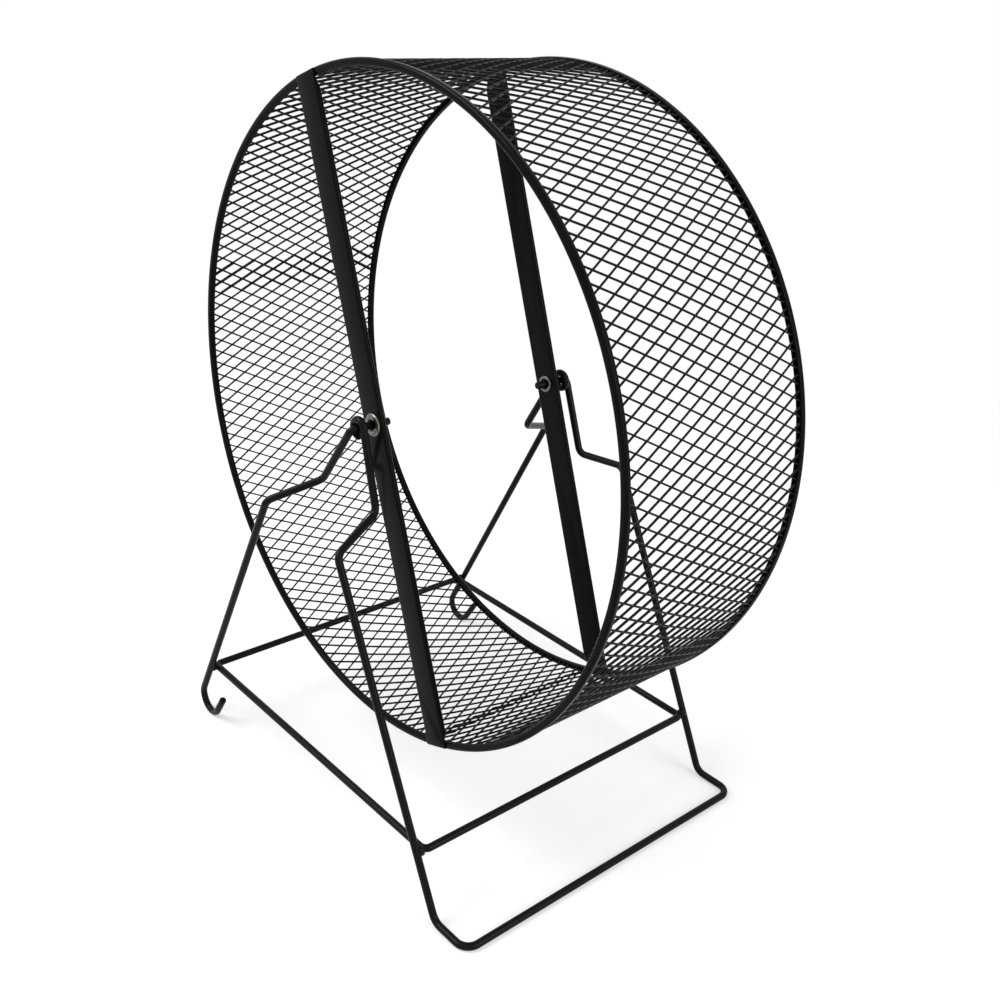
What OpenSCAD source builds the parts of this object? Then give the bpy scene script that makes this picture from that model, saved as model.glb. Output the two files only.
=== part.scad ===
// Rodent exercise wheel on a bent-wire stand, in millimetres, +Z up.
// The origin is on the floor below the middle of the wheel, and the axle runs along Y.
// The front of the wheel faces -Y, and the stand's ground bar lies at +X.

/* [Wheel] */
// Outside diameter of the wheel, over its rims
wheel_d = 280; // [250:1:310]
// Width of the wheel, over the outer faces of its rims
wheel_w = 97; // [80:1:110]
// Gap between the wheel and the floor
floor_gap = 39.5; // [36:0.5:60]

/* [Rims] */
// Depth of the folded rim, across the wheel's radius
rim_depth = 3.2; // [2.9:0.05:5]
// Length of the rim's two lips, along the axle
rim_lip = 2.7; // [1.8:0.1:4.5]
// Thickness of the rim's steel strip
rim_wall = 0.5; // [0.4:0.05:0.6]
// Radius of the rim's two folds
rim_fold_r = 1.2; // [0.3:0.1:1.3]

/* [Mesh sheets] */
// Whole diamonds round the wheel
mesh_turn_count = 68; // [40:1:90]
// Whole diamonds across the wheel
mesh_width_count = 4; // [3:1:5]
// Width of a strand
strand_w = 1.6; // [1:0.1:2.2]
// Thickness of the sheet steel
sheet_t = 0.55; // [0.4:0.05:0.65]
// Rise of a tilted strand above the middle of its sheet
strand_rise = 0.08; // [0:0.01:0.14]
// Clearance between a sheet's edge and the rim that grips it
sheet_gap = 0.2; // [0.15:0.05:0.4]
// Clearance between the two sheets where they overlap
seam_gap = 0.12; // [0.1:0.02:0.3]
// Direction of the short sheet's first edge, from +X toward +Z
short_sheet_start = 164.5; // [120:0.5:200]
// Rows of knots that the short sheet spans
short_sheet_rows = 48; // [30:2:60]
// Rows of knots in each overlap
seam_rows = 2; // [2:2:6]

/* [Hub bars] */
// Width of a hub bar
bar_w = 13; // [10:0.1:16]
// Depth of a hub bar along the axle
bar_depth = 2.5; // [2.3:0.1:5]
// Thickness of the bar's folded steel strip
bar_wall = 0.8; // [0.5:0.05:1]
// Radius of the bar's folded corners
bar_fold_r = 1; // [0.3:0.1:1.1]
// Lean of the bars from upright, toward -X at the top
bar_lean = 20; // [0:0.5:60]
// Gap between a bar's body and the rim's inner lip
bar_gap = 0.3; // [0.2:0.05:0.6]
// Distance from the end of a bar's tongue to the wheel's outside
tongue_inset = 0.3; // [0:0.1:2]

/* [Eyelets] */
// Diameter of an eyelet's head, on the bar's outer face
head_d = 9.8; // [8.2:0.1:10]
// Diameter of its rolled end, on the bar's inner face
roll_d = 7.6; // [7.2:0.1:8]
// Thickness of the head and of the rolled end
flange_t = 0.9; // [0.6:0.05:1]
// Wall of an eyelet's barrel
barrel_wall = 1.2; // [0.8:0.1:1.5]
// Clearance round the barrel in the bar
barrel_gap = 0.1; // [0.05:0.05:0.2]
// Running clearance between the axle pin and the eyelet, on the radius
pin_gap = 0.08; // [0.04:0.01:0.1]

/* [Stand wires] */
// Diameter of every wire of the stand
wire_d = 3.3; // [2.8:0.1:3.8]
// Gap between the wheel's rim plane and the nearest wire at the hub
hub_side_gap = 6; // [5:0.1:12]
// Gap between the two wires that cross at each hub
hub_wire_gap = 0.5; // [0.3:0.1:1]
// Gap between a wire's eye and the axle pin in it
eye_gap = 0.15; // [0.1:0.05:0.3]
// Turn of a wire's eye round the axle pin
eye_turn = 262; // [200:1:264]
// Length of axle pin that shows past the inner flange
pin_tail = 4.6; // [1:0.1:10]
// Radius of the bend from a leg into its axle pin
pin_bend_r = 2.4; // [2.1:0.1:2.5]
// Radius of the bends along the legs
leg_bend_r = 5; // [3:0.1:7]
// Radius of the bends at the feet
foot_bend_r = 6; // [3:0.1:8]

/* [Right frame] */
// Where the right legs start to step outward, from the axle
right_knee_x = 12.5; // [8:0.5:20]
// Drop of that place below the axle
right_knee_drop = 33; // [24:0.5:40]
// Where the right legs turn down again, from the axle
right_shin_x = 21; // [20.5:0.5:30]
// Drop of that place below the axle
right_shin_drop = 41.5; // [34:0.5:50]
// Where the right legs reach the floor, from the axle
right_foot_x = 89.5; // [80:0.5:100]
// Length of the feet, up to the middle of the ground bar
foot_length = 19.5; // [16:0.5:30]

/* [Left legs] */
// Where the left legs start to step outward, from the axle
left_knee_x = 21; // [12:0.5:26]
// Drop of that place below the axle
left_knee_drop = 29; // [24:0.5:40]
// Where the left legs turn down again, from the axle
left_shin_x = 32.5; // [28:0.5:40]
// Drop of that place below the axle
left_shin_drop = 38; // [32:0.5:50]
// Distance from the axle to the middle of the hooks
hook_x = 94; // [80:0.5:105]
// Radius of a hook, to the middle of its wire
hook_r = 7.5; // [5:0.1:12]
// Where a hook's curve ends and its straight tip starts, as an angle above level
hook_end_angle = -33; // [-45:1:20]
// Length of a hook's straight tip
hook_tip = 11.5; // [4:0.5:16]

/* [Base] */
// How far the legs step outward below the hub
leg_step = 20.8; // [14:0.1:30]
// Height of the base rectangle above the floor, to the middle of its wire
base_height = 28; // [20:0.1:40]
// Distance from a leg to the base rectangle's end past it, middle to middle
base_overhang = 1; // [0.5:0.1:2]
// Radius of the base rectangle's corners
base_bend_r = 3; // [2:0.1:5]
// Diameter of a weld bead between the base rectangle and a leg
weld_d = 5.4; // [4.6:0.1:7]

/* [Hidden] */

steel = "#2c2c2e";
nickel = "#c9cacc";
wire_fn = 40;
bend_fn = 72;
ring_fn = 240;
// Flats that make up each of the rim's folds
fold_steps = 4;
// How far the joint ball between a straight run and a bend stands proud of the wire
joint_rise = 0.01;
// Turn of that ball's poles away from the wire's axis
joint_tilt = 30;
// Past a face, so that a cut goes clean through it
over = 1;

wheel_r = wheel_d / 2;
axle_z = floor_gap + wheel_r;
rim_inner_r = wheel_r - rim_depth;
rim_plane = wheel_w / 2;

sheet_depth = sheet_t + 2 * strand_rise;
long_sheet_r = wheel_r - rim_wall - sheet_gap - sheet_depth / 2;
short_sheet_r = long_sheet_r - sheet_depth - seam_gap;
sheet_w = wheel_w - 2 * rim_wall - 2 * sheet_gap;
mesh_columns = 2 * mesh_width_count;
column_w = sheet_w / mesh_columns;
row_turn = 180 / mesh_turn_count;
row_w = long_sheet_r * row_turn * PI / 180;
long_sheet_rows = 2 * mesh_turn_count - short_sheet_rows + 2 * seam_rows;
long_sheet_start = short_sheet_start + (short_sheet_rows - seam_rows) * row_turn;
// Share of a row and of a column that a knot takes on each side of its middle
knot_share = strand_w / 2 * norm([row_w, column_w]) / (row_w * column_w);

bar_outer_y = rim_plane + bar_wall;
bar_inner_y = bar_outer_y - bar_depth;

pin_r = wire_d / 2;
bore_r = pin_r + pin_gap;
barrel_r = bore_r + barrel_wall;
eye_y = rim_plane + hub_side_gap + pin_r;
pin_y = eye_y + wire_d + hub_wire_gap;
pin_tip_y = bar_inner_y - flange_t - pin_tail;
eye_r = wire_d + eye_gap;
leg_y = pin_y + leg_step;

ground_x = right_foot_x + foot_length;
hook_middle = [-hook_x, pin_r + hook_r];
axle = [0, axle_z];
right_knee = [right_knee_x, axle_z - right_knee_drop];
right_shin = [right_shin_x, axle_z - right_shin_drop];
left_knee = [-left_knee_x, axle_z - left_knee_drop];
left_shin = [-left_shin_x, axle_z - left_shin_drop];
hook_start = touch_angle(hook_middle, hook_r, left_shin, 1);
hook_top = on_circle(hook_middle, hook_r, hook_start);

base_y = leg_y - wire_d;
base_left_x = x_at_height(left_shin, hook_top, base_height) - base_overhang;
base_right_x = x_at_height(right_shin, [right_foot_x, pin_r], base_height) + base_overhang;

// Points and directions

function unit(v) = v / norm(v);

// A point [x, z] of the plane across the axle, set at y
function at_y(p, y) = [p[0], y, p[1]];

function on_circle(middle, r, angle) = middle + r * [cos(angle), sin(angle)];

// Angle on a circle where a straight wire from a point touches it, on side 1 or -1
function touch_angle(middle, r, point, side) =
    atan2(point[1] - middle[1], point[0] - middle[0]) + side * acos(r / norm(point - middle));

function x_at_height(top, foot, height) =
    foot[0] + (top[0] - foot[0]) * (height - foot[1]) / (top[1] - foot[1]);

// How far a wire turns at its corner b, between the runs from a and to c
function turn_at(a, b, c) = acos(unit(b - a) * unit(c - b));

// Length of straight run that a bend takes on each side of its corner
function bend_reach(a, b, c, r) = r * tan(turn_at(a, b, c) / 2);

// Wires

// Set at a place, with +Z turned to a direction
module aimed(place, direction) {
    translate(place)
        rotate([0, acos(direction[2] / norm(direction)), atan2(direction[1], direction[0])])
            children();
}

module wire_run(from, to) {
    aimed(from, to - from)
        cylinder(h = norm(to - from), d = wire_d, $fn = wire_fn);
}

// The ball's poles lie off the wire's axis, and well away from its surface
module wire_joint(place, direction) {
    aimed(place, direction)
        rotate([joint_tilt, 0, 0])
            sphere(d = wire_d + 2 * joint_rise, $fn = wire_fn);
}

module wire_ring(r, turn) {
    rotate_extrude(angle = turn, $fn = bend_fn)
        translate([r, 0])
            circle(d = wire_d, $fn = wire_fn);
}

module wire_bend(a, b, c, r) {
    along = unit(b - a);
    inward = unit(unit(c - b) - along * (along * unit(c - b)));
    across = cross(-inward, along);
    middle = b - along * bend_reach(a, b, c, r) + inward * r;
    multmatrix([
        [-inward[0], along[0], across[0], middle[0]],
        [-inward[1], along[1], across[1], middle[1]],
        [-inward[2], along[2], across[2], middle[2]],
        [0, 0, 0, 1]
    ])
        wire_ring(r, turn_at(a, b, c));
}

// A wire through the points, with one bend radius for each corner. Its runs and bends meet
// in joint balls.
module bent_wire(points, radii) {
    last = len(points) - 1;
    reach = [
        for (i = [0:last])
            i == 0 || i == last ? 0 : bend_reach(points[i - 1], points[i], points[i + 1], radii[i - 1])
    ];
    for (i = [0:last - 1]) {
        run = unit(points[i + 1] - points[i]);
        wire_run(points[i] + run * reach[i], points[i + 1] - run * reach[i + 1]);
    }
    for (i = [1:last - 1]) {
        wire_bend(points[i - 1], points[i], points[i + 1], radii[i - 1]);
        for (neighbour = [points[i - 1], points[i + 1]])
            wire_joint(points[i] + unit(neighbour - points[i]) * reach[i], neighbour - points[i]);
    }
}

// A curl in the plane y, from one angle round to a larger one, joined to a run at one of them
module wire_curl(middle, y, r, from, to, joined) {
    translate(at_y(middle, y))
        rotate([90, 0, 0])
            rotate([0, 0, from])
                wire_ring(r, to - from);
    wire_joint(at_y(on_circle(middle, r, joined), y), [-sin(joined), 0, cos(joined)]);
}

// Wheel

module at_axle() {
    translate([0, 0, axle_z])
        children();
}

// The rear side repeats the front side, mirrored
module rear() {
    mirror([0, 1, 0])
        children();
}

// A solid of revolution about the axle, from a section of [radius, distance toward the front]
module turned() {
    rotate([90, 0, 0])
        rotate_extrude($fn = ring_fn)
            children();
}

module disc(r, from, to) {
    translate([0, -from, 0])
        rotate([90, 0, 0])
            cylinder(h = to - from, r = r, $fn = ring_fn);
}

// Points on a quarter of a circle, from an angle on
function quarter(middle, r, from) = [
    for (i = [0:fold_steps])
        on_circle(middle, r, from + 90 * i / fold_steps)
];

// A strip folded to a channel, open toward the mesh sheets
module rim_section() {
    fold_y = rim_lip - rim_fold_r;
    translate([rim_inner_r, rim_plane - rim_lip])
        difference() {
            polygon(concat(
                [[0, 0], [rim_depth, 0]],
                quarter([rim_depth - rim_fold_r, fold_y], rim_fold_r, 0),
                quarter([rim_fold_r, fold_y], rim_fold_r, 90)
            ));
            translate([rim_wall, -over])
                square([rim_depth - 2 * rim_wall, rim_lip - rim_wall + over]);
        }
}

module rim() {
    color(steel)
        at_axle()
            turned()
                rim_section();
}

module front_rim() {
    rim();
}

module rear_rim() {
    rear()
        rim();
}

// Expanded metal: knots stand where row + column is odd, and a strand crosses
// each square between them. Every knot has four corners, 0 to 3, toward the next
// row, the next column, the last row and the last column, on the outer face
// (layer 0) and on the inner face (layer 1).

function knot_number(row, column) =
    floor(row / 2) * (mesh_columns + 1) + (row % 2) * mesh_columns / 2 + floor(column / 2);

function corner(knot, side, layer) = 8 * knot_number(knot[0], knot[1]) + 4 * layer + side;

function knots(rows) = [
    for (row = [0:rows], column = [0:mesh_columns])
        if ((row + column) % 2 == 1) [row, column]
];

function clamp(value, limit) = max(0, min(limit, value));

// The corners toward the next row rise and those toward the last row sink, so the strands tilt
function sheet_point(knot, side, layer, rows, start, r) =
    let (
        row = clamp(knot[0] + knot_share * [1, 0, -1, 0][side], rows),
        column = clamp(knot[1] + knot_share * [0, 1, 0, -1][side], mesh_columns),
        tilt = strand_rise * (row - knot[0]) / knot_share,
        radius = r + tilt + sheet_t * (0.5 - layer),
        angle = start + row * row_turn
    )
    [radius * cos(angle), column * column_w - sheet_w / 2, radius * sin(angle)];

// Both faces of a four-sided patch, given anticlockwise as seen from outside the wheel
function patch(knot_sides) =
    let (
        outer = [for (k = knot_sides) corner(k[0], k[1], 0)],
        inner = [for (k = knot_sides) corner(k[0], k[1], 1)]
    )
    [
        [outer[2], outer[1], outer[0]], [outer[3], outer[2], outer[0]],
        [inner[0], inner[1], inner[2]], [inner[0], inner[2], inner[3]]
    ];

// The cut edge from one corner to the next, with the metal on its left
function edge(a, b) =
    let (
        outer_a = corner(a[0], a[1], 0),
        outer_b = corner(b[0], b[1], 0),
        inner_a = corner(a[0], a[1], 1),
        inner_b = corner(b[0], b[1], 1)
    )
    [[outer_a, outer_b, inner_b], [outer_a, inner_b, inner_a]];

// A strand climbs to the right from a knot in odd squares, and to the left in even ones
function strand(row, column) =
    (row + column) % 2 == 1
        ? strand_faces([row, column], 1, 0, [row + 1, column + 1], 3, 2)
        : strand_faces([row, column + 1], 0, 3, [row + 1, column], 2, 1);

function strand_faces(low, low_right, low_left, high, high_left, high_right) =
    concat(
        patch([[low, low_right], [high, high_right], [high, high_left], [low, low_left]]),
        edge([low, low_right], [high, high_right]),
        edge([high, high_left], [low, low_left])
    );

// Two cut edges of a knot that lies on the border of its sheet
function border(knot, first, second, third) =
    concat(edge([knot, first], [knot, second]), edge([knot, second], [knot, third]));

function knot_faces(knot, rows) =
    concat(
        patch([for (side = [2, 1, 0, 3]) [knot, side]]),
        knot[1] == 0 ? border(knot, 0, 3, 2) : [],
        knot[1] == mesh_columns ? border(knot, 2, 1, 0) : [],
        knot[0] == 0 ? border(knot, 3, 2, 1) : [],
        knot[0] == rows ? border(knot, 1, 0, 3) : []
    );

module mesh_sheet(rows, start, r) {
    color(steel)
        at_axle()
            polyhedron(
                points = [
                    for (knot = knots(rows), layer = [0, 1], side = [0:3])
                        sheet_point(knot, side, layer, rows, start, r)
                ],
                faces = concat(
                    [for (knot = knots(rows)) each knot_faces(knot, rows)],
                    [for (row = [0:rows - 1], column = [0:mesh_columns - 1]) each strand(row, column)]
                )
            );
}

module long_mesh_sheet() {
    mesh_sheet(long_sheet_rows, long_sheet_start, long_sheet_r);
}

module short_mesh_sheet() {
    mesh_sheet(short_sheet_rows, short_sheet_start, short_sheet_r);
}

// Hub bars

// A rectangle with round corners, from its lowest corner
module rounded_rectangle(w, h, r) {
    translate([r, 0])
        square([w - 2 * r, h]);
    translate([0, r])
        square([w, h - 2 * r]);
    for (x = [r, w - r], y = [r, h - r])
        translate([x, y])
            circle(r = r, $fn = wire_fn);
}

module bar_tube() {
    linear_extrude(wheel_d, center = true)
        translate([-bar_w / 2, -bar_outer_y])
            difference() {
                rounded_rectangle(bar_w, bar_depth, bar_fold_r);
                translate([bar_wall, bar_wall])
                    square([bar_w - 2 * bar_wall, bar_depth - 2 * bar_wall]);
            }
}

// The outer wall runs on over the rim's face as a welded tongue
module bar_tongues() {
    tongue_w = bar_w - 2 * bar_fold_r;
    translate([-tongue_w / 2, -bar_outer_y, -wheel_r])
        cube([tongue_w, bar_wall, wheel_d]);
}

module bar() {
    color(steel)
        at_axle()
            rotate([0, -bar_lean, 0])
                difference() {
                    union() {
                        intersection() {
                            bar_tube();
                            disc(rim_inner_r - bar_gap, bar_inner_y - over, bar_outer_y + over);
                        }
                        intersection() {
                            bar_tongues();
                            disc(wheel_r - tongue_inset, bar_inner_y - over, bar_outer_y + over);
                        }
                    }
                    disc(barrel_r + barrel_gap, bar_inner_y - over, bar_outer_y + over);
                }
}

module front_bar() {
    bar();
}

module rear_bar() {
    rear()
        bar();
}

// A flange of diameter d, from the face of the bar out to flange_t, rounded at both edges
module flange_section(d) {
    intersection() {
        union() {
            for (r = [bore_r + flange_t, d / 2 - flange_t])
                translate([r, 0])
                    circle(r = flange_t, $fn = wire_fn);
            translate([bore_r + flange_t, 0])
                square([d / 2 - bore_r - 2 * flange_t, flange_t]);
        }
        square([d, d]);
    }
}

// A tube through the bar, with a head outside and its other end rolled over inside
module eyelet_section() {
    translate([bore_r, bar_inner_y])
        square([barrel_wall, bar_depth]);
    translate([0, bar_outer_y])
        flange_section(head_d);
    translate([0, bar_inner_y])
        mirror([0, 1])
            flange_section(roll_d);
}

module eyelet() {
    color(nickel)
        at_axle()
            turned()
                eyelet_section();
}

module front_eyelet() {
    eyelet();
}

module rear_eyelet() {
    rear()
        eyelet();
}

// Stand

// One wire: front eye, front leg, foot, ground bar, foot, rear leg, rear axle pin
module right_frame_wire() {
    eye_start = touch_angle(axle, eye_r, right_knee, 1);
    floor_z = pin_r;
    color(steel) {
        wire_curl(axle, -eye_y, eye_r, eye_start, eye_start + eye_turn, eye_start);
        bent_wire(
            [
                at_y(on_circle(axle, eye_r, eye_start), -eye_y),
                at_y(right_knee, -eye_y),
                at_y(right_shin, -leg_y),
                [right_foot_x, -leg_y, floor_z],
                [ground_x, -leg_y, floor_z],
                [ground_x, leg_y, floor_z],
                [right_foot_x, leg_y, floor_z],
                at_y(right_shin, leg_y),
                at_y(right_knee, pin_y),
                at_y(axle, pin_y),
                at_y(axle, pin_tip_y)
            ],
            [
                leg_bend_r, leg_bend_r, foot_bend_r, foot_bend_r, foot_bend_r,
                foot_bend_r, leg_bend_r, leg_bend_r, pin_bend_r
            ]
        );
    }
}

// A curl with a straight tip that leans outward
module hook(y) {
    curl_end = on_circle(hook_middle, hook_r, hook_end_angle);
    tip_run = [-sin(hook_end_angle), cos(hook_end_angle)];
    wire_curl(hook_middle, y, hook_r, hook_start, 360 + hook_end_angle, hook_start);
    wire_joint(at_y(curl_end, y), at_y(tip_run, 0));
    wire_run(at_y(curl_end, y), at_y(curl_end + hook_tip * tip_run, y));
}

// Hook, leg and front axle pin
module left_front_leg() {
    color(steel) {
        hook(-leg_y);
        bent_wire(
            [
                at_y(hook_top, -leg_y),
                at_y(left_shin, -leg_y),
                at_y(left_knee, -pin_y),
                at_y(axle, -pin_y),
                at_y(axle, -pin_tip_y)
            ],
            [leg_bend_r, leg_bend_r, pin_bend_r]
        );
    }
}

// Hook, leg and an eye round the rear axle pin
module left_rear_leg() {
    eye_start = touch_angle(axle, eye_r, left_knee, -1);
    color(steel) {
        hook(leg_y);
        bent_wire(
            [
                at_y(hook_top, leg_y),
                at_y(left_shin, leg_y),
                at_y(left_knee, eye_y),
                at_y(on_circle(axle, eye_r, eye_start), eye_y)
            ],
            [leg_bend_r, leg_bend_r]
        );
        wire_curl(axle, eye_y, eye_r, eye_start - eye_turn, eye_start, eye_start);
    }
}

// One wire bent to a closed rectangle, from the middle of its right side
module base_rectangle() {
    color(steel)
        bent_wire(
            [
                [base_right_x, 0, base_height],
                [base_right_x, base_y, base_height],
                [base_left_x, base_y, base_height],
                [base_left_x, -base_y, base_height],
                [base_right_x, -base_y, base_height],
                [base_right_x, 0, base_height]
            ],
            [base_bend_r, base_bend_r, base_bend_r, base_bend_r]
        );
}

// A bead in the corner where each leg passes the base rectangle, run into both wires
module base_welds() {
    color(steel)
        for (x = [base_left_x + base_overhang, base_right_x - base_overhang], side = [-1, 1])
            translate([x, side * (base_y + wire_d / 2), base_height])
                sphere(d = weld_d, $fn = wire_fn);
}

front_rim();
rear_rim();
long_mesh_sheet();
short_mesh_sheet();
front_bar();
rear_bar();
front_eyelet();
rear_eyelet();
right_frame_wire();
left_front_leg();
left_rear_leg();
base_rectangle();
base_welds();
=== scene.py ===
import math

import bmesh
import bpy
from mathutils import Matrix, Vector, noise


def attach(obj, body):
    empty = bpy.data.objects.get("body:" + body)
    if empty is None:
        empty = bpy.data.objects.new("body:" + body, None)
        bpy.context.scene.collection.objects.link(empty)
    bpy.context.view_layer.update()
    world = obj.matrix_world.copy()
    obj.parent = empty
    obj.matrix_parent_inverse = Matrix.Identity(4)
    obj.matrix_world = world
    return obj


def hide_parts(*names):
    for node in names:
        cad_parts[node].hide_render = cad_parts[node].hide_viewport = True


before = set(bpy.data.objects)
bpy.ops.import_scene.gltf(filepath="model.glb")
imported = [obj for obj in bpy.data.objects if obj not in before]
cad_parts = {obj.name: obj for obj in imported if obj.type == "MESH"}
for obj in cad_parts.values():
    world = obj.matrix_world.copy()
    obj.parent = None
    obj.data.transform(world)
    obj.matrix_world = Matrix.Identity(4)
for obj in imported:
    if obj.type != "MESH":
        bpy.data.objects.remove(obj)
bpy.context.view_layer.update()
print("frame loaded:", len(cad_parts), "solids")

mm = 0.001
samePoint = 1e-4            # points nearer to each other than this are one
noiseSpread = (0.3, 0.7)    # most values of a noise texture lie between these

# sizes in millimetres, angles in degrees, as in the part's source
wheel = {"radius": 140, "width": 97, "axleHeight": 179.5}


def hexColour(code):
    shares = [int(code[i:i + 2], 16) / 255 for i in (1, 3, 5)]
    linear = [s / 12.92 if s <= 0.04045 else ((s + 0.055) / 1.055) ** 2.4 for s in shares]
    return (*linear, 1)


def addNode(tree, kind, settings={}, inputs={}):
    # an input is a plain value, a socket, or a node whose first output is meant
    node = tree.nodes.new(kind)
    for name, value in settings.items():
        setattr(node, name, value)
    for name, value in inputs.items():
        if isinstance(value, bpy.types.Node):
            value = value.outputs[0]
        if isinstance(value, bpy.types.NodeSocket):
            tree.links.new(value, node.inputs[name])
        else:
            node.inputs[name].default_value = value
    return node


def newMaterial(name):
    material = bpy.data.materials.new(name)
    material.use_nodes = True
    tree = material.node_tree
    tree.nodes.clear()
    return material, tree


def meshObject(name, bm, material, smoothAngle=None):
    bmesh.ops.remove_doubles(bm, verts=bm.verts, dist=samePoint * mm)
    mesh = bpy.data.meshes.new(name)
    bm.to_mesh(mesh)
    bm.free()
    if smoothAngle is not None:
        mesh.shade_smooth()
        mesh.set_sharp_from_angle(angle=math.radians(smoothAngle))
    mesh.materials.append(material)
    piece = bpy.data.objects.new(name, mesh)
    bpy.context.scene.collection.objects.link(piece)
    return piece


def place(piece, body, slot, *nodes):
    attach(piece, body)
    if nodes:
        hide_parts(*nodes)


def atAxle(x, y, z):
    return Vector((x, y, z + wheel["axleHeight"])) * mm


# Powder-coated steel: baked-on polymer powder over bent steel, so it flows round every edge,
# has a faint orange-peel skin and a soft semi-gloss
powderCoat = {
    "colour": "#0b0b0c",
    "colourThin": "#131314",    # where less powder clung
    "thinSize": 14,
    "thinDetail": 3.0,
    "ior": 1.38,
    "shine": 0.15,
    "peelSize": 0.9,
    "peelDetail": 1.5,
    "peelHeight": 0.048,
    "peelStrength": 0.5,
    "grainSize": 0.18,
    "grainDetail": 1.0,
    "grainHeight": 0.012,
    "grainStrength": 0.25,
}


def powderCoatMaterial(name, peel=1.0, roughness=(0.2, 0.3), shine=powderCoat["shine"]):
    material, tree = newMaterial(name)
    where = addNode(tree, "ShaderNodeTexCoord").outputs["Object"]
    cloud = addNode(tree, "ShaderNodeTexNoise", {},
                    {"Vector": where, "Scale": 1 / (powderCoat["thinSize"] * mm),
                     "Detail": powderCoat["thinDetail"]})
    skin = addNode(tree, "ShaderNodeTexNoise", {},
                   {"Vector": where, "Scale": 1 / (powderCoat["peelSize"] * mm),
                    "Detail": powderCoat["peelDetail"]})
    grain = addNode(tree, "ShaderNodeTexNoise", {},
                    {"Vector": where, "Scale": 1 / (powderCoat["grainSize"] * mm),
                     "Detail": powderCoat["grainDetail"]})
    colour = addNode(tree, "ShaderNodeMix", {"data_type": "RGBA"},
                     {"Factor": cloud, 6: hexColour(powderCoat["colour"]),
                      7: hexColour(powderCoat["colourThin"])})
    rough = addNode(tree, "ShaderNodeMapRange", {},
                    {"Value": grain, "From Min": noiseSpread[0], "From Max": noiseSpread[1],
                     "To Min": roughness[0], "To Max": roughness[1]})
    peelBump = addNode(tree, "ShaderNodeBump", {},
                       {"Height": skin, "Strength": powderCoat["peelStrength"] * peel,
                        "Distance": powderCoat["peelHeight"] * mm})
    grainBump = addNode(tree, "ShaderNodeBump", {},
                        {"Height": grain, "Strength": powderCoat["grainStrength"] * peel,
                         "Distance": powderCoat["grainHeight"] * mm, "Normal": peelBump})
    shader = addNode(tree, "ShaderNodeBsdfPrincipled", {},
                     {"Base Color": colour.outputs[2], "Roughness": rough, "IOR": powderCoat["ior"],
                      "Specular IOR Level": shine, "Normal": grainBump})
    addNode(tree, "ShaderNodeOutputMaterial", {}, {"Surface": shader})
    return material


# Nickel-plated steel: a warm-grey plate, electroplated and then polished by the rolling tool in
# fine rings, dull in patches, and with painted shade that turns it black round the pin
nickelPlate = {
    "colour": "#8a8680",
    "colourDull": "#54504b",
    "dullSize": 1.6,
    "dullDetail": 4.0,
    "roughness": (0.18, 0.34),
    "ringPitch": 0.754,
    "ringWobble": 1.0,
    "ringDetail": 2.0,
    "ringHeight": 0.01,
    "ringStrength": 0.15,
    # painted shade in the bore round the pin: its colour and the radii over which it fades
    "boreShadeColour": "#14110e",
    "boreShadeFrom": 2.15,      # radius of the black part of the painted shade
    "boreShadeTo": 3.0,         # radius at which the painted shade has faded out
    "boreShadeWander": 0.5,
}


def nickelMaterial():
    material, tree = newMaterial("nickelPlatedSteel")
    where = addNode(tree, "ShaderNodeTexCoord").outputs["Object"]
    cloud = addNode(tree, "ShaderNodeTexNoise", {},
                    {"Vector": where, "Scale": 1 / (nickelPlate["dullSize"] * mm),
                     "Detail": nickelPlate["dullDetail"]})
    centred = addNode(tree, "ShaderNodeMapping", {},
                      {"Vector": where, "Location": (0, 0, -wheel["axleHeight"] * mm)})
    # the wave texture's own phase runs twenty times as fast as its scale
    rings = addNode(tree, "ShaderNodeTexWave", {"wave_type": "RINGS", "rings_direction": "Y"},
                    {"Vector": centred, "Scale": 2 * math.pi / (20 * nickelPlate["ringPitch"] * mm),
                     "Distortion": nickelPlate["ringWobble"], "Detail": nickelPlate["ringDetail"]})
    plate = addNode(tree, "ShaderNodeMix", {"data_type": "RGBA"},
                    {"Factor": cloud, 6: hexColour(nickelPlate["colour"]),
                     7: hexColour(nickelPlate["colourDull"])})
    # painted shade: the bore's shade round the pin, painted black and fading out over the head
    across = addNode(tree, "ShaderNodeVectorMath", {"operation": "MULTIPLY"}, {0: centred, 1: (1, 0, 1)})
    radius = addNode(tree, "ShaderNodeVectorMath", {"operation": "LENGTH"}, {0: across})
    uneven = addNode(tree, "ShaderNodeMath", {"operation": "MULTIPLY_ADD"},
                     {0: cloud, 1: nickelPlate["boreShadeWander"] * mm, 2: radius.outputs["Value"]})
    shift = nickelPlate["boreShadeWander"] / 2
    outsideBoreShade = addNode(tree, "ShaderNodeMapRange", {"interpolation_type": "SMOOTHSTEP"},
                    {"Value": uneven, "From Min": (nickelPlate["boreShadeFrom"] + shift) * mm,
                     "From Max": (nickelPlate["boreShadeTo"] + shift) * mm})
    # the painted shade is mixed over the plate's colour
    colour = addNode(tree, "ShaderNodeMix", {"data_type": "RGBA"},
                     {"Factor": outsideBoreShade, 6: hexColour(nickelPlate["boreShadeColour"]), 7: plate.outputs[2]})
    rough = addNode(tree, "ShaderNodeMapRange", {},
                    {"Value": cloud, "From Min": noiseSpread[0], "From Max": noiseSpread[1],
                     "To Min": nickelPlate["roughness"][0], "To Max": nickelPlate["roughness"][1]})
    bump = addNode(tree, "ShaderNodeBump", {},
                   {"Height": rings, "Strength": nickelPlate["ringStrength"],
                    "Distance": nickelPlate["ringHeight"] * mm})
    shader = addNode(tree, "ShaderNodeBsdfPrincipled", {},
                     {"Base Color": colour.outputs[2], "Metallic": 1.0, "Roughness": rough, "Normal": bump})
    addNode(tree, "ShaderNodeOutputMaterial", {}, {"Surface": shader})
    return material


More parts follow.
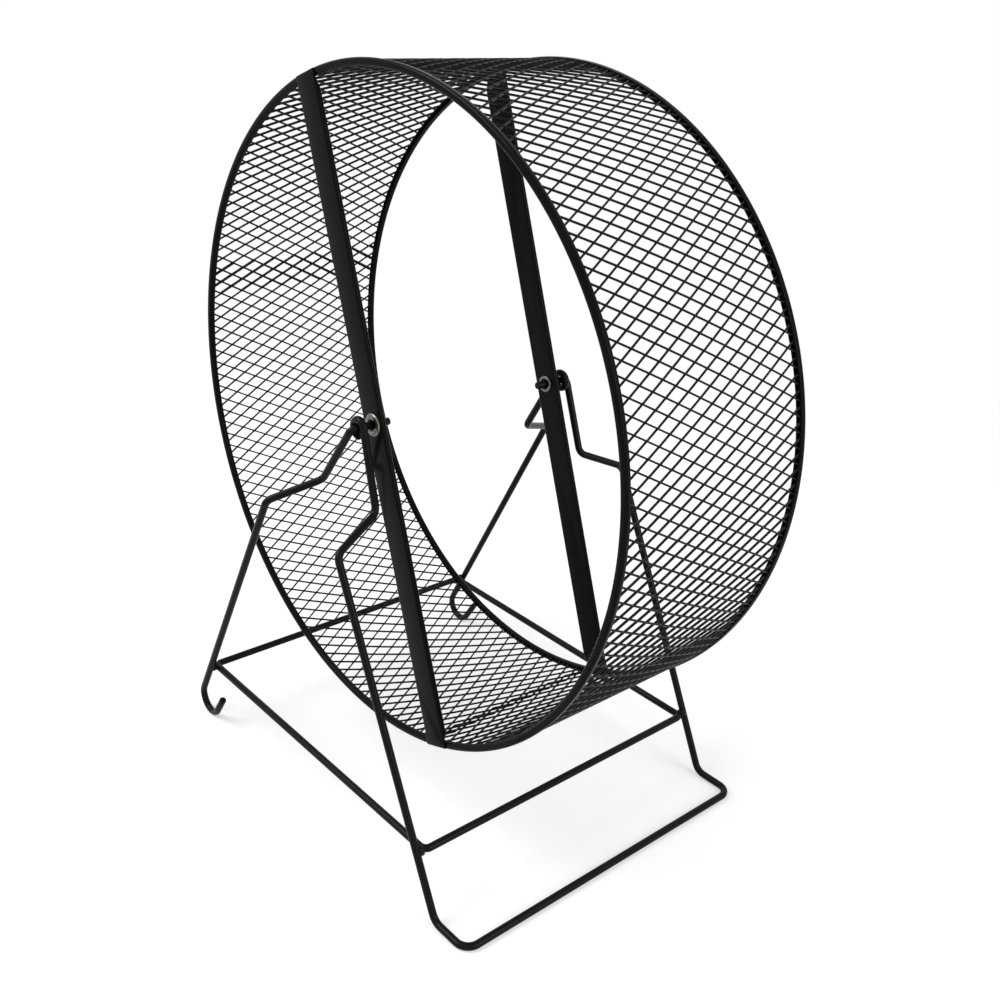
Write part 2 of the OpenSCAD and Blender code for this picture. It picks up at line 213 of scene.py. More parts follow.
# the coat lies thicker and darker on the flat strips
stripCoat = powderCoatMaterial("powderCoatOnStrip", peel=0.8, roughness=(0.12, 0.2), shine=0.07)
wireCoat = powderCoatMaterial("powderCoatOnWire", peel=0.8, roughness=(0.2, 0.3))
meshCoat = powderCoatMaterial("powderCoatOnMesh", peel=0.5, roughness=(0.3, 0.4))
weldCoat = powderCoatMaterial("powderCoatOnWelds", peel=2.0, roughness=(0.3, 0.45))
nickel = nickelMaterial()
print("materials made")


# Every slit row of the sheet is one zigzag strand across the wheel, and each strand is
# joined to the next at its knots. The knife leaves all strands leaning the same way.
expandedMetal = {
    "halfDiamonds": 17,       # across the sheet
    "strandWidth": 1.05,
    "strandThickness": 0.7,
    "strandSides": 6,
    "sideStretch": 1.12,      # makes up for the sides' flats
    "lean": 14,
    "knotLength": 0.5,
    "knotOverlap": 0.12,      # of each strand's width
    "bendRadius": 0.15,
    "sheetWidth": 95.6,
}
# start is the first strand's angle, from +X toward +Z, rowTurn the angle from one strand to the next, phase
# the side to which the first one zigzags, and skew how far a strand's front end lies past its rear end
sheets = {
    "longMeshSheet": {
        "node": "long_mesh_sheet", "radius": 138.85, "start": 286.26, "rowTurn": 1.25,
        "strands": 196, "phase": 0, "skew": 0,
    },
    "shortMeshSheet": {
        "node": "short_mesh_sheet", "radius": 137.85, "start": 164.78, "rowTurn": 1.2463,
        "strands": 100, "phase": 1, "skew": 0.9,
    },
}


def expandedMetalTree():
    tree = bpy.data.node_groups.new("expandedMetal", "GeometryNodeTree")
    named = {
        "Half diamonds": "Int", "Strands": "Int", "First phase": "Int", "First angle": "Float",
        "Row turn": "Float", "Radius": "Float", "Skew": "Float", "Sheet width": "Float", "Zigzag": "Float",
        "Knot length": "Float", "Knot rise": "Float", "Bend radius": "Float", "Strand width": "Float",
        "Strand depth": "Float", "Strand sides": "Int", "Lean": "Float", "Coating": "Material",
    }
    for name, kind in named.items():
        tree.interface.new_socket(name=name, in_out="INPUT", socket_type="NodeSocket" + kind)
    tree.interface.new_socket(name="Geometry", in_out="OUTPUT", socket_type="NodeSocketGeometry")
    given = addNode(tree, "NodeGroupInput").outputs

    def sums(operation, a, b=0, c=0):
        return addNode(tree, "ShaderNodeMath", {"operation": operation}, {0: a, 1: b, 2: c})

    # two points for each knot, one at each of its ends, cut off at the sheet's edges
    index = addNode(tree, "GeometryNodeInputIndex")
    knot = sums("FLOOR", sums("DIVIDE", index, 2))
    knotEnd = sums("MULTIPLY_ADD", sums("MODULO", index, 2), 2, -1)
    knotCount = sums("ADD", given["Half diamonds"], 1)
    pitch = sums("DIVIDE", given["Sheet width"], given["Half diamonds"])
    halfWidth = sums("DIVIDE", given["Sheet width"], 2)
    along = sums("SUBTRACT", sums("MULTIPLY", knot, pitch), halfWidth)
    along = sums("MULTIPLY_ADD", knotEnd, sums("DIVIDE", given["Knot length"], 2), along)
    along = sums("MINIMUM", sums("MAXIMUM", along, sums("MULTIPLY", halfWidth, -1)), halfWidth)
    # one strand for each row, turned round the axle
    row = addNode(tree, "GeometryNodeInputIndex")
    angle = sums("MULTIPLY_ADD", row, given["Row turn"], given["First angle"])
    turn = addNode(tree, "ShaderNodeCombineXYZ", {}, {"Y": sums("MULTIPLY", angle, -1)})
    rows = addNode(tree, "GeometryNodeMeshLine", {}, {"Count": given["Strands"], "Offset": (0, 0, 0)})
    section = addNode(tree, "GeometryNodeCurvePrimitiveCircle", {},
                      {"Resolution": given["Strand sides"], "Radius": 0.5})
    size = addNode(tree, "ShaderNodeCombineXYZ", {},
                   {"X": given["Strand width"], "Y": given["Strand depth"], "Z": 1.0})
    section = addNode(tree, "GeometryNodeTransform", {}, {"Geometry": section, "Scale": size})
    # neighbouring rows zigzag to opposite sides and meet at their knots
    joined = addNode(tree, "GeometryNodeJoinGeometry")
    for phase in (0, 1):
        side = sums("MULTIPLY_ADD", sums("MODULO", sums("ADD", knot, phase), 2), -2, 1)
        away = sums("MULTIPLY_ADD", side, sums("MULTIPLY", given["Knot rise"], -1), given["Radius"])
        skewed = sums("MULTIPLY", sums("DIVIDE", along, given["Sheet width"]), given["Skew"])
        point = addNode(tree, "ShaderNodeCombineXYZ", {},
                        {"X": away, "Y": along, "Z": sums("MULTIPLY_ADD", side, given["Zigzag"], skewed)})
        line = addNode(tree, "GeometryNodeMeshLine", {}, {"Count": sums("MULTIPLY", knotCount, 2)})
        line = addNode(tree, "GeometryNodeSetPosition", {}, {"Geometry": line, "Position": point})
        path = addNode(tree, "GeometryNodeMeshToCurve", {}, {"Mesh": line})
        path = addNode(tree, "GeometryNodeFilletCurve", {"mode": "POLY"},
                       {"Curve": path, "Count": 1, "Radius": given["Bend radius"]})
        path = addNode(tree, "GeometryNodeSetCurveNormal", {"mode": "Z_UP"}, {"Curve": path})
        path = addNode(tree, "GeometryNodeSetCurveTilt", {}, {"Curve": path, "Tilt": given["Lean"]})
        strand = addNode(tree, "GeometryNodeCurveToMesh", {},
                         {"Curve": path, "Profile Curve": section, "Fill Caps": True})
        chosen = addNode(tree, "FunctionNodeCompare", {"data_type": "INT", "operation": "EQUAL"},
                         {"A": sums("MODULO", sums("ADD", row, given["First phase"]), 2), "B": phase})
        strands = addNode(tree, "GeometryNodeInstanceOnPoints", {},
                          {"Points": rows, "Selection": chosen, "Instance": strand, "Rotation": turn})
        tree.links.new(strands.outputs[0], joined.inputs[0])
    real = addNode(tree, "GeometryNodeRealizeInstances", {}, {"Geometry": joined})
    smooth = addNode(tree, "GeometryNodeSetShadeSmooth", {}, {"Geometry": real})
    coated = addNode(tree, "GeometryNodeSetMaterial", {}, {"Geometry": smooth, "Material": given["Coating"]})
    addNode(tree, "NodeGroupOutput", {}, {"Geometry": coated})
    return tree


def grown(name, tree, values):
    # the tree's result as a plain mesh
    seed = bpy.data.objects.new(name + "Seed", bpy.data.meshes.new(name + "Seed"))
    bpy.context.scene.collection.objects.link(seed)
    modifier = seed.modifiers.new("nodes", "NODES")
    modifier.node_group = tree
    for item in tree.interface.items_tree:
        if item.in_out == "INPUT":
            modifier[item.identifier] = values[item.name]
    seed.update_tag()
    graph = bpy.context.evaluated_depsgraph_get()
    mesh = bpy.data.meshes.new_from_object(seed.evaluated_get(graph))
    bpy.data.objects.remove(seed)
    mesh.name = name
    piece = bpy.data.objects.new(name, mesh)
    bpy.context.scene.collection.objects.link(piece)
    return piece


sheetTree = expandedMetalTree()
lean = math.radians(expandedMetal["lean"])
overlap = expandedMetal["knotOverlap"] * expandedMetal["strandWidth"]
for name, sheet in sheets.items():
    rowGap = math.radians(sheet["rowTurn"]) * sheet["radius"]
    piece = grown(name, sheetTree, {
        "Half diamonds": expandedMetal["halfDiamonds"],
        "Strands": sheet["strands"],
        "First phase": sheet["phase"],
        "First angle": math.radians(sheet["start"]),
        "Row turn": math.radians(sheet["rowTurn"]),
        "Radius": sheet["radius"] * mm,
        "Sheet width": expandedMetal["sheetWidth"] * mm,
        "Skew": -sheet["skew"] * mm,
        "Zigzag": (rowGap / 2 - overlap) * mm,
        "Knot length": expandedMetal["knotLength"] * mm,
        "Knot rise": overlap * math.sin(lean) * mm,
        "Bend radius": expandedMetal["bendRadius"] * mm,
        "Strand width": expandedMetal["strandWidth"] * mm,
        "Strand depth": expandedMetal["strandThickness"] * expandedMetal["sideStretch"] * mm,
        "Strand sides": expandedMetal["strandSides"],
        "Lean": lean,
        "Coating": meshCoat,
    })
    piece.data.transform(Matrix.Translation((0, 0, wheel["axleHeight"] * mm)))
    place(piece, "wheel", "black_powder_coated_steel", sheet["node"])
    print(name, len(piece.data.polygons), "faces")


def revolved(profile, segments, middleHeight):
    # a closed section of (radius, y) turned round the axle
    bm = bmesh.new()
    rings = []
    for i in range(segments):
        turn = 2 * math.pi * i / segments
        rings.append([
            bm.verts.new(Vector((r * math.cos(turn), y, r * math.sin(turn) + middleHeight)) * mm)
            for r, y in profile
        ])
    for i, ring in enumerate(rings):
        after = rings[(i + 1) % segments]
        for j in range(len(profile)):
            k = (j + 1) % len(profile)
            bm.faces.new((ring[j], ring[k], after[k], after[j]))
    bmesh.ops.recalc_face_normals(bm, faces=bm.faces)
    return bm


def arc(middle, radius, first, last, steps):
    return [
        (middle[0] + radius * math.cos(math.radians(first + (last - first) * i / steps)),
         middle[1] + radius * math.sin(math.radians(first + (last - first) * i / steps)))
        for i in range(steps + 1)
    ]


rim = {
    "depth": 3.2, "lip": 2.7, "wall": 0.5, "fold": 1.2, "edge": 0.2, "pinch": 0.25,
    "segments": 288, "foldSteps": 6, "backSteps": 4, "edgeSteps": 3, "smoothAngle": 40,
}


def rimProfile():
    # a strip folded to a channel, its two lips pressed toward the mesh, with flowed paint on the cut edges
    outer, inner = wheel["radius"], wheel["radius"] - rim["depth"]
    face = wheel["width"] / 2
    back = face - rim["lip"]
    fold, wall, edge, pinch = (rim[k] for k in ("fold", "wall", "edge", "pinch"))
    foldSteps, backSteps, edgeSteps = (rim[k] for k in ("foldSteps", "backSteps", "edgeSteps"))
    bend = fold - wall
    points = arc((inner + fold, face - fold), fold, 180, 90, foldSteps)
    points += arc((outer - fold, face - fold), fold, 90, 0, foldSteps)
    points += arc((outer - edge - pinch, back + edge), edge, 0, -90, edgeSteps)
    points += arc((outer - wall + edge - pinch, back + edge), edge, -90, -180, edgeSteps)
    points += arc((outer - fold, face - fold), bend, 0, 90, backSteps)
    points += arc((inner + fold, face - fold), bend, 90, 180, backSteps)
    points += arc((inner + wall - edge + pinch, back + edge), edge, 0, -90, edgeSteps)
    points += arc((inner + edge + pinch, back + edge), edge, -90, -180, edgeSteps)
    return points


for name, node, side in (("frontRim", "front_rim", -1), ("rearRim", "rear_rim", 1)):
    profile = [(r, side * y) for r, y in rimProfile()]
    bm = revolved(profile, rim["segments"], wheel["axleHeight"])
    piece = meshObject(name, bm, stripCoat, rim["smoothAngle"])
    place(piece, "wheel", "black_powder_coated_steel", node)
print("rims made")


bar = {
    "width": 13, "depth": 2.5, "fold": 1.0, "lean": 20, "tongueWall": 0.8,
    "bodyEnd": 136.5, "pinch": 5, "followedFold": 30, "tongueTip": 0.45, "tongueNarrowing": 0.6, "hole": 3.03,
    "bodySteps": (0, 4, 12, 40, 90), "pinchSteps": 6, "tongueSteps": 5, "cornerSteps": 5,
    "deepestFold": 0.49,      # of the depth, so that a thin end's corners stay apart
    "holeSides": 48, "smoothAngle": 35,
}


def barSection(width, depth):
    # corners of a rounded rectangle, the depth measured along the axle
    fold = min(bar["fold"], depth * bar["deepestFold"])
    points = []
    for cx, cy, first in (
        (width / 2 - fold, depth - fold, 0), (-width / 2 + fold, depth - fold, 90),
        (-width / 2 + fold, fold, 180), (width / 2 - fold, fold, 270),
    ):
        points += arc((cx, cy), fold, first, first + 90, bar["cornerSteps"])
    return points


def barMesh(side):
    # stations along the bar: front line (y, z), direction into the wheel (y, z), depth and width
    outer = wheel["width"] / 2 + bar["tongueWall"]
    wall, width = bar["tongueWall"], bar["width"]
    bm = bmesh.new()
    stations = [((-outer, z), (1, 0), bar["depth"], width) for z in bar["bodySteps"]]
    # the body is pinched flat where the tongue begins
    for i in range(bar["pinchSteps"] + 1):
        share = i / bar["pinchSteps"]
        ease = share * share * (3 - 2 * share)
        stations.append(((-outer, bar["bodyEnd"] - bar["pinch"] * (1 - share)), (1, 0),
                         bar["depth"] - (bar["depth"] - wall) * ease, width))
    # the tongue lies on the rim's face, thins toward its end and starts to follow the rim's outer fold
    middle = (-wheel["width"] / 2 + rim["fold"], wheel["radius"] - rim["fold"])
    for i in range(bar["tongueSteps"] + 1):
        share = i / bar["tongueSteps"]
        turn = math.radians(bar["followedFold"] * share)
        thick = wall - (wall - bar["tongueTip"]) * share * share
        wide = width - bar["tongueNarrowing"] * share ** 4
        reach = rim["fold"] + thick
        stations.append(((middle[0] - reach * math.cos(turn), middle[1] + reach * math.sin(turn)),
                         (math.cos(turn), -math.sin(turn)), thick, wide))
    rings = []
    mirrored = [((y, -z), (ny, -nz), depth, w) for (y, z), (ny, nz), depth, w in stations[:0:-1]]
    for (y, z), (inY, inZ), depth, w in mirrored + stations:
        # over the fold the tongue bends with the rim's curve
        sag = abs(inZ) / (2 * wheel["radius"])
        rings.append([
            bm.verts.new(Vector((x, y + inY * d, z + inZ * d - math.copysign(sag * x * x, z))) * mm)
            for x, d in barSection(w, depth)
        ])
    for a, b in zip(rings, rings[1:]):
        for j in range(len(a)):
            k = (j + 1) % len(a)
            bm.faces.new((a[j], a[k], b[k], b[j]))
    bm.faces.new(rings[0])
    bm.faces.new(rings[-1])
    bmesh.ops.recalc_face_normals(bm, faces=bm.faces)
    bmesh.ops.transform(bm, matrix=Matrix.Rotation(-math.radians(bar["lean"]), 4, "Y"), verts=bm.verts)
    if side > 0:
        bmesh.ops.scale(bm, vec=(1, -1, 1), verts=bm.verts)
        bmesh.ops.reverse_faces(bm, faces=bm.faces)
    bmesh.ops.translate(bm, vec=(0, 0, wheel["axleHeight"] * mm), verts=bm.verts)
    return bm


def drilled(piece, radius):
    # cuts the eyelet's hole through a bar
    bpy.ops.mesh.primitive_cylinder_add(vertices=bar["holeSides"], radius=radius * mm,
                                        depth=wheel["width"] * 2 * mm, location=atAxle(0, 0, 0),
                                        rotation=(math.pi / 2, 0, 0))
    drill = bpy.context.object
    modifier = piece.modifiers.new("hole", "BOOLEAN")
    modifier.object = drill
    modifier.operation = "DIFFERENCE"
    modifier.solver = "EXACT"
    graph = bpy.context.evaluated_depsgraph_get()
    mesh = bpy.data.meshes.new_from_object(piece.evaluated_get(graph))
    piece.modifiers.clear()
    piece.data = mesh
    bpy.data.objects.remove(drill)
    mesh.shade_smooth()
    mesh.set_sharp_from_angle(angle=math.radians(bar["smoothAngle"]))


for name, node, side in (("frontBar", "front_bar", -1), ("rearBar", "rear_bar", 1)):
    piece = meshObject(name, barMesh(side), stripCoat, bar["smoothAngle"])
    drilled(piece, bar["hole"])
    place(piece, "wheel", "black_powder_coated_steel", node)
print("bars made")


eyelet = {
    "bore": 1.73, "barrel": 2.93, "head": 4.9, "rolledEnd": 3.8, "roll": 0.45,
    "domeSteps": 14, "boreSteps": 6, "rollSteps": 8, "segments": 64, "smoothAngle": 45,
}


def eyeletProfile():
    # a tube through the bar, with a domed head outside and its other end rolled over inside
    outer = wheel["width"] / 2 + bar["tongueWall"]
    inner = outer - bar["depth"]
    bore, barrel, roll = (eyelet[k] for k in ("bore", "barrel", "roll"))
    middle, half = (eyelet["head"] + bore) / 2, (eyelet["head"] - bore) / 2
    dome = [math.pi * i / eyelet["domeSteps"] for i in range(eyelet["domeSteps"] + 1)]
    points = [(middle + half * math.cos(t), outer + 2 * roll * math.sin(t)) for t in dome]
    points += arc((bore + 2 * roll, inner), 2 * roll, 180, 270, eyelet["boreSteps"])
    points += arc((eyelet["rolledEnd"] - roll, inner - roll), roll, -90, 90, eyelet["rollSteps"])
    points += [(barrel, inner), (barrel, outer)]
    return points


for name, node, side in (("frontEyelet", "front_eyelet", -1), ("rearEyelet", "rear_eyelet", 1)):
    profile = [(r, side * y) for r, y in eyeletProfile()]
    bm = revolved(profile, eyelet["segments"], wheel["axleHeight"])
    piece = meshObject(name, bm, nickel, eyelet["smoothAngle"])
    place(piece, "wheel", "nickel_plated_steel", node)
print("eyelets made")


# knees and shins are (distance from the axle's plane, distance below the axle)
stand = {
    "wire": 3.3, "sides": 24, "stepAngle": 6, "fewestSteps": 4, "smoothAngle": 60,
    "softEnd": 0.45, "softShare": 0.3,
    "hubGap": 6, "wireGap": 0.5, "eyeGap": 0.15, "eyeTurn": 262, "pinTip": 41.3,
    "pinBend": 2.4, "legBend": 5, "footBend": 6, "legStep": 20.8,
    "rightKnee": (12.5, 33), "rightShin": (21, 41.5), "rightFoot": 89.5, "footLength": 19.5,
    "leftKnee": (21, 29), "leftShin": (32.5, 38),
    "hook": 94, "hookRadius": 7.5, "hookEnd": -33, "hookTip": 11.5,
    "baseHeight": 28, "baseOverhang": 1, "baseBend": 3,
}
wireR = stand["wire"] / 2      # also the height of a wire that lies on the floor
eyeY = wheel["width"] / 2 + stand["hubGap"] + wireR
pinY = eyeY + stand["wire"] + stand["wireGap"]
legY = pinY + stand["legStep"]
eyeR = stand["wire"] + stand["eyeGap"]
axleZ = wheel["axleHeight"]
hookMiddle = (-stand["hook"], wireR + stand["hookRadius"])
groundX = stand["rightFoot"] + stand["footLength"]
rightKnee = (stand["rightKnee"][0], axleZ - stand["rightKnee"][1])
rightShin = (stand["rightShin"][0], axleZ - stand["rightShin"][1])
leftKnee = (-stand["leftKnee"][0], axleZ - stand["leftKnee"][1])
leftShin = (-stand["leftShin"][0], axleZ - stand["leftShin"][1])


def atY(p, y):
    return Vector((p[0], y, p[1]))


def onCircle(middle, radius, angle):
    turn = math.radians(angle)
    return (middle[0] + radius * math.cos(turn), middle[1] + radius * math.sin(turn))


def touchAngle(middle, radius, point, side):
    # where a straight wire from a point meets a circle without a kink
    dx, dz = point[0] - middle[0], point[1] - middle[1]
    return math.degrees(math.atan2(dz, dx) + side * math.acos(radius / math.hypot(dx, dz)))


def xAtHeight(top, foot, height):
    # where a straight leg passes a height
    return foot[0] + (top[0] - foot[0]) * (height - foot[1]) / (top[1] - foot[1])


hookStart = touchAngle(hookMiddle, stand["hookRadius"], leftShin, 1)
hookTop = onCircle(hookMiddle, stand["hookRadius"], hookStart)
baseY = legY - stand["wire"]
baseLeft = xAtHeight(leftShin, hookTop, stand["baseHeight"]) - stand["baseOverhang"]
baseRight = xAtHeight(rightShin, (stand["rightFoot"], wireR), stand["baseHeight"]) + stand["baseOverhang"]


def curl(middle, y, radius, first, last):
    # a round bend across the axle, as a line of points
    steps = round(abs(last - first) / stand["stepAngle"])
    return [atY(onCircle(middle, radius, first + (last - first) * i / steps), y) for i in range(steps + 1)]


def bent(points, radii):
    # straight runs joined by round bends, as a line of points
    line = [points[0]]
    for a, b, c, radius in zip(points, points[1:], points[2:], radii):
        along, on = (b - a).normalized(), (c - b).normalized()
        turn = along.angle(on)
        reach = radius * math.tan(turn / 2)
        inward = (on - along * along.dot(on)).normalized()
        middle = b - along * reach + inward * radius
        steps = max(stand["fewestSteps"], round(math.degrees(turn) / stand["stepAngle"]))
        for i in range(steps + 1):
            angle = turn * i / steps
            line.append(middle - inward * radius * math.cos(angle) + along * radius * math.sin(angle))
    line.append(points[-1])
    return line


def tube(name, line, closed=False):
    # a round wire along a line of points, its cut ends softened by the coating
    bm = bmesh.new()
    line = [p for i, p in enumerate(line) if i == 0 or (p - line[i - 1]).length > samePoint]
    if closed and (line[0] - line[-1]).length < samePoint:
        line.pop()
    count = len(line)
    tangents = []
    for i, p in enumerate(line):
        before = line[i - 1] if i or closed else p
        after = line[(i + 1) % count] if i < count - 1 or closed else p
        tangents.append((after - before).normalized())
    normal = tangents[0].orthogonal().normalized()
    stations = []
    for i, p in enumerate(line):
        if i:
            normal = tangents[i - 1].rotation_difference(tangents[i]) @ normal
        stations.append((p, tangents[i], normal.copy(), wireR))
    if not closed:
        soft, share = stand["softEnd"], stand["softShare"]
        first, last = stations[0], stations[-1]
        ends = [(0, wireR - soft), (soft * share, wireR - soft * share)]
        head = [(first[0] + first[1] * d, first[1], first[2], r) for d, r in ends]
        tail = [(last[0] - last[1] * d, last[1], last[2], r) for d, r in reversed(ends)]
        stations[0] = (first[0] + first[1] * soft, first[1], first[2], wireR)
        stations[-1] = (last[0] - last[1] * soft, last[1], last[2], wireR)
        stations = head + stations + tail
    rings = []
    for p, t, n, radius in stations:
        across = t.cross(n)
        rings.append([
            bm.verts.new((p + (n * math.cos(a) + across * math.sin(a)) * radius) * mm)
            for a in (2 * math.pi * j / stand["sides"] for j in range(stand["sides"]))
        ])
    if closed:
        # the last ring is joined to the first at its nearest vertex
        start = rings[0][0].co
        shift = min(range(stand["sides"]), key=lambda j: (rings[-1][j].co - start).length)
        rings.append([rings[0][(j - shift) % stand["sides"]] for j in range(stand["sides"])])
    for a, b in zip(rings, rings[1:]):
        for j in range(stand["sides"]):
            k = (j + 1) % stand["sides"]
            bm.faces.new((a[j], a[k], b[k], b[j]))
    if not closed:
        bm.faces.new(rings[0])
        bm.faces.new(rings[-1])
    bmesh.ops.recalc_face_normals(bm, faces=bm.faces)
    return meshObject(name, bm, wireCoat, stand["smoothAngle"])


eyeStart = touchAngle((0, axleZ), eyeR, rightKnee, 1)
rightWire = curl((0, axleZ), -eyeY, eyeR, eyeStart + stand["eyeTurn"], eyeStart)[:-1] + bent(
    [atY(onCircle((0, axleZ), eyeR, eyeStart), -eyeY), atY(rightKnee, -eyeY), atY(rightShin, -legY),
     atY((stand["rightFoot"], wireR), -legY), atY((groundX, wireR), -legY),
     atY((groundX, wireR), legY), atY((stand["rightFoot"], wireR), legY),
     atY(rightShin, legY), atY(rightKnee, pinY), atY((0, axleZ), pinY), atY((0, axleZ), stand["pinTip"])],
    [stand["legBend"], stand["legBend"], stand["footBend"], stand["footBend"], stand["footBend"],
     stand["footBend"], stand["legBend"], stand["legBend"], stand["pinBend"]])
hookTurn = (360 + stand["hookEnd"], hookStart)


def hookTip(y):
    # the straight end of the wire, leaning outward
    angle = math.radians(stand["hookEnd"])
    start = onCircle(hookMiddle, stand["hookRadius"], stand["hookEnd"])
    reach = stand["hookTip"]
    return atY((start[0] - math.sin(angle) * reach, start[1] + math.cos(angle) * reach), y)


frontLeg = [hookTip(-legY)] + curl(hookMiddle, -legY, stand["hookRadius"], *hookTurn)[:-1] + bent(
    [atY(hookTop, -legY), atY(leftShin, -legY), atY(leftKnee, -pinY), atY((0, axleZ), -pinY),
     atY((0, axleZ), -stand["pinTip"])],
    [stand["legBend"], stand["legBend"], stand["pinBend"]])
rearEyeStart = touchAngle((0, axleZ), eyeR, leftKnee, -1)
rearLeg = [hookTip(legY)] + curl(hookMiddle, legY, stand["hookRadius"], *hookTurn)[:-1] + bent(
    [atY(hookTop, legY), atY(leftShin, legY), atY(leftKnee, eyeY),
     atY(onCircle((0, axleZ), eyeR, rearEyeStart), eyeY)],
    [stand["legBend"], stand["legBend"]])[:-1] + curl(
        (0, axleZ), eyeY, eyeR, rearEyeStart, rearEyeStart - stand["eyeTurn"])
baseLoop = bent(
    [Vector((baseRight, 0, stand["baseHeight"])), Vector((baseRight, baseY, stand["baseHeight"])),
     Vector((baseLeft, baseY, stand["baseHeight"])), Vector((baseLeft, -baseY, stand["baseHeight"])),
     Vector((baseRight, -baseY, stand["baseHeight"])), Vector((baseRight, 0, stand["baseHeight"]))],
    [stand["baseBend"]] * 4)
for name, line, node, closed in (
    ("rightFrameWire", rightWire, "right_frame_wire", False),
    ("leftFrontLeg", frontLeg, "left_front_leg", False),
    ("leftRearLeg", rearLeg, "left_rear_leg", False),
    ("baseRectangle", baseLoop, "base_rectangle", True),
):
    piece = tube(name, line, closed)
    place(piece, "stand", "black_powder_coated_steel", node)
    print(name, len(line), "points")


weld = {
    "width": 5.4, "flatness": 0.95, "body": 0.88, "divisions": 4,
    "lumpCount": 1.8, "lumpHeight": 0.12, "lumpShift": 400,
    "grainCount": 5, "grainHeight": 0.04, "grainShift": 90,
}


def weldBeads():
    # small uneven balls of steel, pressed out where two wires are welded
    bm = bmesh.new()
    radius = weld["width"] / 2 * mm
    for x in (baseLeft + stand["baseOverhang"], baseRight - stand["baseOverhang"]):
        for side in (-1, 1):
            made = bmesh.ops.create_icosphere(bm, subdivisions=weld["divisions"], radius=radius)
            middle = Vector((x, side * (baseY + wireR), stand["baseHeight"])) * mm
            for vert in made["verts"]:
                direction = vert.co.normalized()
                size = weld["body"]
                for kind in ("lump", "grain"):
                    spot = direction * weld[kind + "Count"] + middle * weld[kind + "Shift"]
                    size += noise.noise(spot) * weld[kind + "Height"]
                vert.co = middle + Vector((vert.co.x, vert.co.y * weld["flatness"], vert.co.z)) * size
    return bm


piece = meshObject("baseWelds", weldBeads(), weldCoat, smoothAngle=180)
place(piece, "stand", "black_powder_coated_steel", "base_welds")
print("weld beads made")


studio = {
    "floorColour": "#dcdcdc", "floorGlow": 0.46, "floorSize": 6000, "floorSquares": 8,
    "glowFrom": 350, "glowTo": 900,
    "fibreSize": 2, "fibreDetail": 2.0, "fibreHeight": 0.05, "fibreStrength": 0.05,
    "roomColour": "#ffffff", "roomLight": 0.45,
    "lamps": {
        "keyLamp": {"place": (-700, -900, 1300), "size": 900, "power": 16},
        "sideLamp": {"place": (1200, 300, 700), "size": 700, "power": 6},
    },
}


def seenRays(tree):
    # 1 for the camera and for what metal or glass would show, 0 for the light on the object
    rays = addNode(tree, "ShaderNodeLightPath")
    direct = addNode(tree, "ShaderNodeMath", {"operation": "MAXIMUM"},
                     {0: rays.outputs["Is Camera Ray"], 1: rays.outputs["Is Glossy Ray"]})
    return addNode(tree, "ShaderNodeMath", {"operation": "MAXIMUM"},
                   {0: direct, 1: rays.outputs["Is Transmission Ray"]})


def paperMaterial():
    # background paper: pressed from pulp, so it is matt, with a faint relief of fibres
    material, tree = newMaterial("paperFloor")
    where = addNode(tree, "ShaderNodeTexCoord").outputs["Object"]
    fibres = addNode(tree, "ShaderNodeTexNoise", {},
                     {"Vector": where, "Scale": 1 / (studio["fibreSize"] * mm),
                      "Detail": studio["fibreDetail"]})
    bump = addNode(tree, "ShaderNodeBump", {},
                   {"Height": fibres, "Strength": studio["fibreStrength"],
                    "Distance": studio["fibreHeight"] * mm})
    paper = addNode(tree, "ShaderNodeBsdfDiffuse", {},
                    {"Color": hexColour(studio["floorColour"]), "Normal": bump})
    seen = seenRays(tree)
    strength = addNode(tree, "ShaderNodeMath", {"operation": "MULTIPLY"}, {0: seen, 1: studio["floorGlow"]})
    glow = addNode(tree, "ShaderNodeEmission", {}, {"Color": (1, 1, 1, 1), "Strength": strength})
    both = addNode(tree, "ShaderNodeAddShader", {}, {0: paper, 1: glow})
    # away from the object the paper runs into plain white
    distance = addNode(tree, "ShaderNodeVectorMath", {"operation": "LENGTH"}, {0: where})
    away = addNode(tree, "ShaderNodeMapRange", {"interpolation_type": "SMOOTHSTEP"},
                   {"Value": distance.outputs["Value"], "From Min": studio["glowFrom"] * mm,
                    "From Max": studio["glowTo"] * mm})
    share = addNode(tree, "ShaderNodeMath", {"operation": "MULTIPLY"}, {0: seen, 1: away})
    white = addNode(tree, "ShaderNodeEmission", {}, {"Color": (1, 1, 1, 1), "Strength": 1.0})
    surface = addNode(tree, "ShaderNodeMixShader", {}, {0: share, 1: both, 2: white})
    addNode(tree, "ShaderNodeOutputMaterial", {}, {"Surface": surface})
    return material


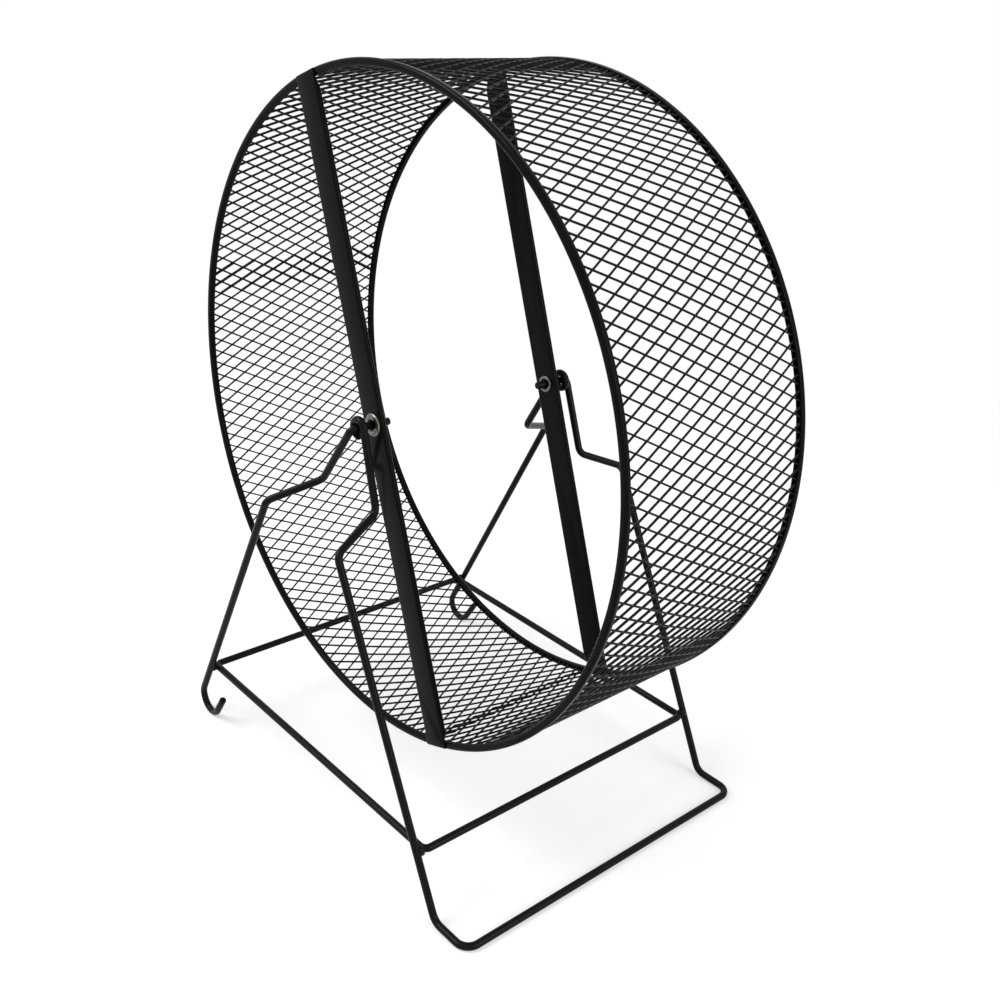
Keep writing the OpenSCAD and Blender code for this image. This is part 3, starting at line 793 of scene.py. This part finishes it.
def buildStudio():
    bm = bmesh.new()
    bmesh.ops.create_grid(bm, x_segments=studio["floorSquares"], y_segments=studio["floorSquares"],
                          size=studio["floorSize"] / 2 * mm)
    floor = meshObject("studioFloor", bm, paperMaterial())

    world = bpy.data.worlds.new("room")
    world.use_nodes = True
    bpy.context.scene.world = world
    tree = world.node_tree
    tree.nodes.clear()
    # the room shows plain white, and lights the object less
    seen = seenRays(tree)
    strength = addNode(tree, "ShaderNodeMapRange", {},
                       {"Value": seen, "To Min": studio["roomLight"], "To Max": 1.0})
    light = addNode(tree, "ShaderNodeBackground", {},
                    {"Color": hexColour(studio["roomColour"]), "Strength": strength})
    addNode(tree, "ShaderNodeOutputWorld", {}, {"Surface": light})

    for name, lamp in studio["lamps"].items():
        data = bpy.data.lights.new(name, "AREA")
        data.shape = "SQUARE"
        data.size = lamp["size"] * mm
        data.energy = lamp["power"]
        lampObject = bpy.data.objects.new(name, data)
        bpy.context.scene.collection.objects.link(lampObject)
        lampObject.location = Vector(lamp["place"]) * mm
        aim = atAxle(0, 0, 0) - lampObject.location
        lampObject.rotation_euler = aim.to_track_quat("-Z", "Y").to_euler()


buildStudio()


view = {
    "azimuth": 47.84, "elevation": 24.285, "roll": 3.196, "place": (366.1, -308.8, 350.2),
    "lens": 42.17, "sensor": 36, "nearest": 10,
}


def buildCamera():
    azimuth, elevation, roll = (math.radians(view[k]) for k in ("azimuth", "elevation", "roll"))
    ahead = Vector((-math.sin(azimuth) * math.cos(elevation), math.cos(azimuth) * math.cos(elevation),
                    -math.sin(elevation)))
    right = Vector((math.cos(azimuth), math.sin(azimuth), 0))
    up = right.cross(ahead)
    rolledRight = right * math.cos(roll) + up * math.sin(roll)
    rolledUp = up * math.cos(roll) - right * math.sin(roll)
    data = bpy.data.cameras.new("photoCamera")
    data.sensor_width = view["sensor"]
    data.lens = view["lens"]
    data.clip_start = view["nearest"] * mm
    camera = bpy.data.objects.new("photoCamera", data)
    bpy.context.scene.collection.objects.link(camera)
    camera.matrix_world = Matrix.Translation(Vector(view["place"]) * mm) @ Matrix(
        (rolledRight, rolledUp, -ahead)).transposed().to_4x4()
    bpy.context.scene.camera = camera


buildCamera()
bpy.context.scene.view_settings.view_transform = "Standard"
print("studio and camera made")
